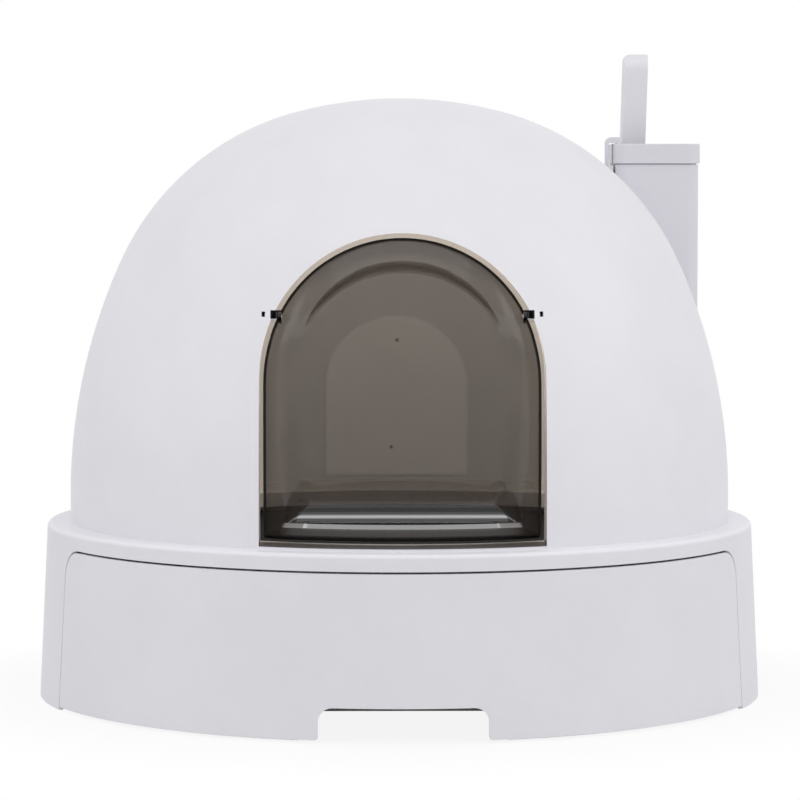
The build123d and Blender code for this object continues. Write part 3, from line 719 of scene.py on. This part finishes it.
# %% [markdown]
# ## Rings and lines
#
# A plain grid of squares would cut across the crescent and leave a ragged edge. So the mesh's rings
# follow the arch, and the crescent runs along rows of vertices. Lines cross the rings: up the left
# side, round the top and down the right side. Both are close together where the form turns fast.

# %% Rings and the lines that cross them
RIM_ROUND = 0.5 * MM
CORNER = 2 * MM
TURNS = 72


def spread(stops):
    """Numbers from stop to stop: each stop is a value and the count of steps that lead up to it."""
    row = [stops[0][0]]
    for value, count in stops[1:]:
        start = row[-1]
        row += [start + (value - start) * (i + 1) / count for i in range(count)]
    return row


rings = spread([
    (0, 0), (60 * MM, 24), (92 * MM, 80), (HALF_WIDTH - RIM_ROUND, 6), (HALF_WIDTH, 1),
])
levels = spread([
    (FLAP_LOW.z, 0), (FLAP_LOW.z + RIM_ROUND, 1), (SHELF_HEIGHT - SHELF_CHAMFER, 8),
    (SHELF_HEIGHT - EDGE_STEP, 2), (SHELF_HEIGHT, 1), (WINDOW_FOOT, 14),
    (WINDOW_FOOT + 30 * MM, 20), (SPRING, 26),
])
lines = [("left", z) for z in levels[:-1]]
lines += [("top", math.pi * (1 - i / TURNS)) for i in range(TURNS + 1)]
lines += [("right", z) for z in reversed(levels[:-1])]


def flap_place(line, ring):
    """X and Z of a vertex, on one of the lines that cross the rings."""
    kind, value = line
    if kind == "top":
        return ring * math.cos(value), SPRING + ring * math.sin(value)
    side = -1 if kind == "left" else 1
    above_foot = value - FLAP_LOW.z
    inset = CORNER - math.sqrt(CORNER**2 - max(0, CORNER - above_foot) ** 2)
    return side * min(ring, HALF_WIDTH - inset), value


print("rings:", len(rings), "lines:", len(lines))

# %% [markdown]
# ## Two skins and a rim
#
# A second, inner skin lies one thickness behind the outer one, and a rounded rim joins the two. A
# solidify modifier could make the wall, but it would move the inner skin square to the outer one,
# while a mould draws both straight out. Below the hinge the flap is made a little wider than its
# solid, as its narrow gap in the photograph asks. The inner skin also sits a little lower.

# %% The flap's skins
WIDEN_POWER = 4
DROP_START = (1 * MM, 5 * MM)
SAME_PLACE = 0.01 * MM


def flap_skin(shape, back):
    """One skin of the flap, back behind the outer face, as rows of vertices."""
    rows = []
    for line in lines:
        row = []
        for ring in rings:
            x, z = flap_place(line, ring)
            to_rim = HALF_WIDTH - math.hypot(x, max(0, z - SPRING))
            to_edge = min(to_rim, z - FLAP_LOW.z)
            x *= 1 + WIDENING * (ring / HALF_WIDTH) ** WIDEN_POWER * (1 - ease(z, *WIDE_END))
            rounding = RIM_ROUND * (1 - ease(to_edge, 0, RIM_ROUND))
            y = flap_depth(x, z) + back + (-rounding if back else rounding)
            drop = INNER_DROP * ease(to_edge, *DROP_START) if back else 0
            row.append(shape.verts.new((x, y, z - drop)))
        rows.append(row)
    return rows


def outline(skin):
    """The vertices round the edge of a skin, in order."""
    return [row[-1] for row in skin] + skin[-1][-2:0:-1] + [skin[0][0]] + skin[0][1:-1]


flap_shape = bmesh.new()
outer = flap_skin(flap_shape, 0)
inner = flap_skin(flap_shape, THICKNESS)
for skin, turned in ((outer, False), (inner, True)):
    for first, second in zip(skin, skin[1:]):
        for i in range(len(rings) - 1):
            corners = [first[i], first[i + 1], second[i + 1], second[i]]
            flap_shape.faces.new(corners[::-1] if turned else corners)
front_edge, back_edge = outline(outer), outline(inner)
for i in range(len(front_edge)):
    j = (i + 1) % len(front_edge)
    flap_shape.faces.new((front_edge[i], back_edge[i], back_edge[j], front_edge[j]))
bmesh.ops.remove_doubles(flap_shape, verts=flap_shape.verts, dist=SAME_PLACE)
bmesh.ops.recalc_face_normals(flap_shape, faces=flap_shape.faces)
print("flap skins:", len(flap_shape.verts), "vertices,", len(flap_shape.faces), "faces")

# %% [markdown]
# ## Ears and pins
#
# The flap hangs on two stub pins, each moulded onto an ear at the rim. Pin and ear are made of
# loops round the hinge line, with their ends a little smaller, so that light catches their edges.
# The rear half of an ear is drawn out into a block, which carries the pin's load into the flap.

# %% The flap's ears and pins
PIN_RADIUS = 2.9 * MM
PIN_TIP = 94 * MM
PIN_PROFILE = ((0.8 * MM, 1), (0.25 * MM, 0.9), (0, 0.7))
EAR_LEFT, EAR_RIGHT = 84 * MM, 87 * MM
EAR_ROUND, EAR_ROUND_SHARE = 0.4 * MM, 0.9
EAR_BACK = 7.2 * MM
EAR_SQUARE_BACK, EAR_SQUARE_SIDE = 1.5, 1.6
PIN_STEPS = 28


def closed_rings(shape, loops):
    """Skins a row of loops of the same length, with a face over each end."""
    made = [[shape.verts.new(place) for place in loop] for loop in loops]
    count = len(made[0])
    for first, second in zip(made, made[1:]):
        for i in range(count):
            j = (i + 1) % count
            shape.faces.new((first[i], first[j], second[j], second[i]))
    shape.faces.new(made[0][::-1])
    shape.faces.new(made[-1])


def pin_loop(x, radius, back=0.0):
    """Circle round the hinge line at x. With back, its rear half is drawn out into a block."""
    loop = []
    for i in range(PIN_STEPS):
        turn = 2 * math.pi * i / PIN_STEPS
        y, z = radius * math.cos(turn), radius * math.sin(turn)
        if back and y > 0:
            y = back * min(1, EAR_SQUARE_BACK * y / radius)
            z = math.copysign(radius, z) * min(1, abs(z) / radius * EAR_SQUARE_SIDE)
        loop.append((x, HINGE[1] + y, HINGE[2] + z))
    return loop


pin = [(EAR_RIGHT, 1)] + [(PIN_TIP - back_off, share) for back_off, share in PIN_PROFILE]
ear = [
    (EAR_LEFT, EAR_ROUND_SHARE), (EAR_LEFT + EAR_ROUND, 1),
    (EAR_RIGHT - EAR_ROUND, 1), (EAR_RIGHT, EAR_ROUND_SHARE),
]
for side in (-1, 1):
    closed_rings(flap_shape, [pin_loop(side * x, PIN_RADIUS * share) for x, share in pin])
    closed_rings(flap_shape, [pin_loop(side * x, PIN_RADIUS * share, EAR_BACK) for x, share in ear])
bmesh.ops.recalc_face_normals(flap_shape, faces=flap_shape.faces)
print("ears and pins: loops at", [round(x / MM, 2) for x, _ in ear + pin], "mm")

# %% [markdown]
# ## The flap and its gate marks become pieces
#
# Hot plastic entered the mould at two points, and each left a small round mark on the window. A
# piece rides on a body, so it moves with the flap's joint, and the new flap replaces the solid one
# in the looks.

# %% Pieces that ride on the flap
CREASE_ANGLE = math.radians(28)
MARK_PLACES = (
    (-3.8 * MM, FLAP_LOW.z + 139.5 * MM),
    (-7.9 * MM, FLAP_LOW.z + 64.5 * MM),
)
MARK_PROFILE = ((1.25, 0.0), (1.2, 0.12), (0.85, 0.2), (0.7, 0.08), (0.25, 0.05))
MARK_SINK = 0.02 * MM
MARK_STEPS = 24


def new_piece(name, shape, finish, body):
    """Makes an object of a bmesh, gives it a finish and lets it ride on a body."""
    mesh = bpy.data.meshes.new(name)
    shape.to_mesh(mesh)
    shape.free()
    mesh.materials.append(finish)
    mesh.shade_smooth()
    mesh.set_sharp_from_angle(angle=CREASE_ANGLE)
    piece = bpy.data.objects.new(name, mesh)
    bpy.context.scene.collection.objects.link(piece)
    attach(piece, body)
    return piece


def mark_loop(x, z, radius, proud):
    """A circle on the window, proud of its face. radius and proud are in millimetres."""
    y = flap_depth(x, z) + MARK_SINK - proud * MM
    turns = [2 * math.pi * i / MARK_STEPS for i in range(MARK_STEPS)]
    return [
        (x + radius * MM * math.cos(turn), y, z + radius * MM * math.sin(turn)) for turn in turns
    ]


moulded_flap = new_piece("moulded_flap", flap_shape, flap_finish, "flap")
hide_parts("entry_flap")

for number, (x, z) in enumerate(MARK_PLACES, 1):
    mark = bmesh.new()
    closed_rings(mark, [mark_loop(x, z, radius, proud) for radius, proud in MARK_PROFILE])
    bmesh.ops.recalc_face_normals(mark, faces=mark.faces)
    new_piece(f"gate_mark_{number}", mark, mark_finish, "flap")
print("pieces:", moulded_flap.name, "and", len(MARK_PLACES), "gate marks")

# %% [markdown]
# ## A plain pale floor
#
# The photograph's background is pure white with no horizon. The camera sees the floor as white by
# its own colour, and other rays see an ordinary pale floor, so that the floor doesn't light the
# box more than a real one would. Close to the box, a small share of the camera's view is the lit
# floor, which keeps a soft shadow round its foot.

# %% Floor and world
FLOOR_REACH = 12.0
FLOOR_SQUARES = 8
FLOOR_PALE = (0.8, 0.8, 0.8)
WHITE = (1.0, 1.0, 1.0)
SHADOW_SHARE = 0.11
SHADOW_FADE = (0.27, 0.42)
SKY_LEVEL = 0.52


def seen_directly(wires):
    """1 for camera, mirror and see-through rays."""
    camera_ray, mirror_ray, through_ray = (
        wires.make("ShaderNodeLightPath", out=name)
        for name in ("Is Camera Ray", "Is Glossy Ray", "Is Transmission Ray")
    )
    return (camera_ray + mirror_ray + through_ray).at_most(1.0)


floor_material, wires = blank_finish("pale floor")
lit = wires.make("ShaderNodeBsdfDiffuse", None, {"Color": opaque(FLOOR_PALE)})
plain = wires.make("ShaderNodeEmission", None, {"Color": opaque(WHITE), "Strength": 1.0})
floor_x, floor_y, _ = parts(wires.make("ShaderNodeTexCoord", out="Object"))
near_box = 1 - step(distance(floor_x, floor_y), *SHADOW_FADE)
share = seen_directly(wires) * (1 - SHADOW_SHARE * near_box)
surface = wires.make("ShaderNodeMixShader", None, {0: share, 1: lit, 2: plain})
wires.make("ShaderNodeOutputMaterial", None, {"Surface": surface})

floor_mesh = bpy.data.meshes.new("floor")
floor_shape = bmesh.new()
bmesh.ops.create_grid(
    floor_shape, x_segments=FLOOR_SQUARES, y_segments=FLOOR_SQUARES, size=FLOOR_REACH
)
floor_shape.to_mesh(floor_mesh)
floor_shape.free()
floor_mesh.materials.append(floor_material)
floor = bpy.data.objects.new("floor", floor_mesh)
bpy.context.scene.collection.objects.link(floor)

world = bpy.data.worlds.new("studio")
world.use_nodes = True
world.node_tree.nodes.clear()
wires = Wire(world.node_tree)
level = SKY_LEVEL + (1 - SKY_LEVEL) * seen_directly(wires)
sky = wires.make("ShaderNodeBackground", None, {"Color": opaque(WHITE), "Strength": level})
wires.make("ShaderNodeOutputWorld", None, {"Surface": sky})
bpy.context.scene.world = world
print("floor and world ready, sky level", SKY_LEVEL)

# %% [markdown]
# ## Soft studio light
#
# Two large lamps stand low at the sides, the right one a little stronger, and a third large one
# stands in front. High above the door hangs a long strip with a brighter core, and the flap's
# shelf mirrors it as the two bright bands in the photograph. The core hangs a little nearer than
# the strip, because the nearer of two lamps in one plane would hide the other.
#
# The shell of a real box lets some daylight through, so its inside glows softly. A dim lamp inside
# stands in for that light.

# %% Lamps
LAMP_DISTANCE = 3.2
CORE_DISTANCE = LAMP_DISTANCE - 0.05
STRIP_RISE = 71
AIM = Vector((0, 0, 0.2))
GLOW_WATTS = 0.95
GLOW_COLOUR = (1.0, 0.96, 0.92)
GLOW_RADIUS = 0.09
GLOW_PLACE = (0, 0.02, 0.29)


def soft_lamp(name, turn, rise, size, watts, away=LAMP_DISTANCE):
    """A flat lamp round the box: turn degrees to the right of the front, rise degrees up."""
    lamp = bpy.data.lights.new(name, "AREA")
    lamp.shape = "RECTANGLE"
    lamp.size, lamp.size_y = size
    lamp.energy = watts
    turn, rise = math.radians(turn), math.radians(rise)
    level = math.cos(rise)
    way = Vector((math.sin(turn) * level, -math.cos(turn) * level, math.sin(rise)))
    holder = bpy.data.objects.new(name, lamp)
    holder.location = AIM + away * way
    holder.rotation_mode = "QUATERNION"
    holder.rotation_quaternion = way.to_track_quat("Z", "Y")
    bpy.context.scene.collection.objects.link(holder)


soft_lamp("right", 72, 31, (3.0, 2.4), 25.5)
soft_lamp("left", -71, 27, (3.0, 2.4), 20.5)
soft_lamp("front", 0, 32, (3.0, 1.9), 12)
soft_lamp("strip", 0, STRIP_RISE, (3.2, 0.42), 9)
soft_lamp("strip core", 0, STRIP_RISE, (4.6, 0.18), 5.5, CORE_DISTANCE)

glow = bpy.data.lights.new("inside", "POINT")
glow.energy = GLOW_WATTS
glow.color = GLOW_COLOUR
glow.shadow_soft_size = GLOW_RADIUS
inside = bpy.data.objects.new("inside", glow)
inside.location = GLOW_PLACE
inside.visible_camera = False
bpy.context.scene.collection.objects.link(inside)

# %% [markdown]
# ## The camera
#
# The photograph was taken from far away with a long lens, a little to the left of the middle and
# a little above the box, looking slightly down. The lens was worked out in pixels of the picture,
# and Blender wants it in millimetres for a sensor of the given width.

# %% Camera
CAMERA_PLACE = (-0.028, -2.650, 0.385)
CAMERA_DOWN = 3.6
CAMERA_TURN = -0.615
FOCAL_PIXELS = 3530
IMAGE_WIDTH = 800
SENSOR_WIDTH = 36.0
VIEW_END = 60

camera = bpy.data.cameras.new("camera")
camera.sensor_width = SENSOR_WIDTH
camera.lens = FOCAL_PIXELS * SENSOR_WIDTH / IMAGE_WIDTH
camera.clip_end = VIEW_END
eye = bpy.data.objects.new("camera", camera)
eye.location = CAMERA_PLACE
eye.rotation_euler = (math.radians(90 - CAMERA_DOWN), 0, math.radians(CAMERA_TURN))
bpy.context.scene.collection.objects.link(eye)
bpy.context.scene.camera = eye
bpy.context.scene.view_settings.view_transform = "Standard"
print("lens", round(camera.lens, 2), "mm")
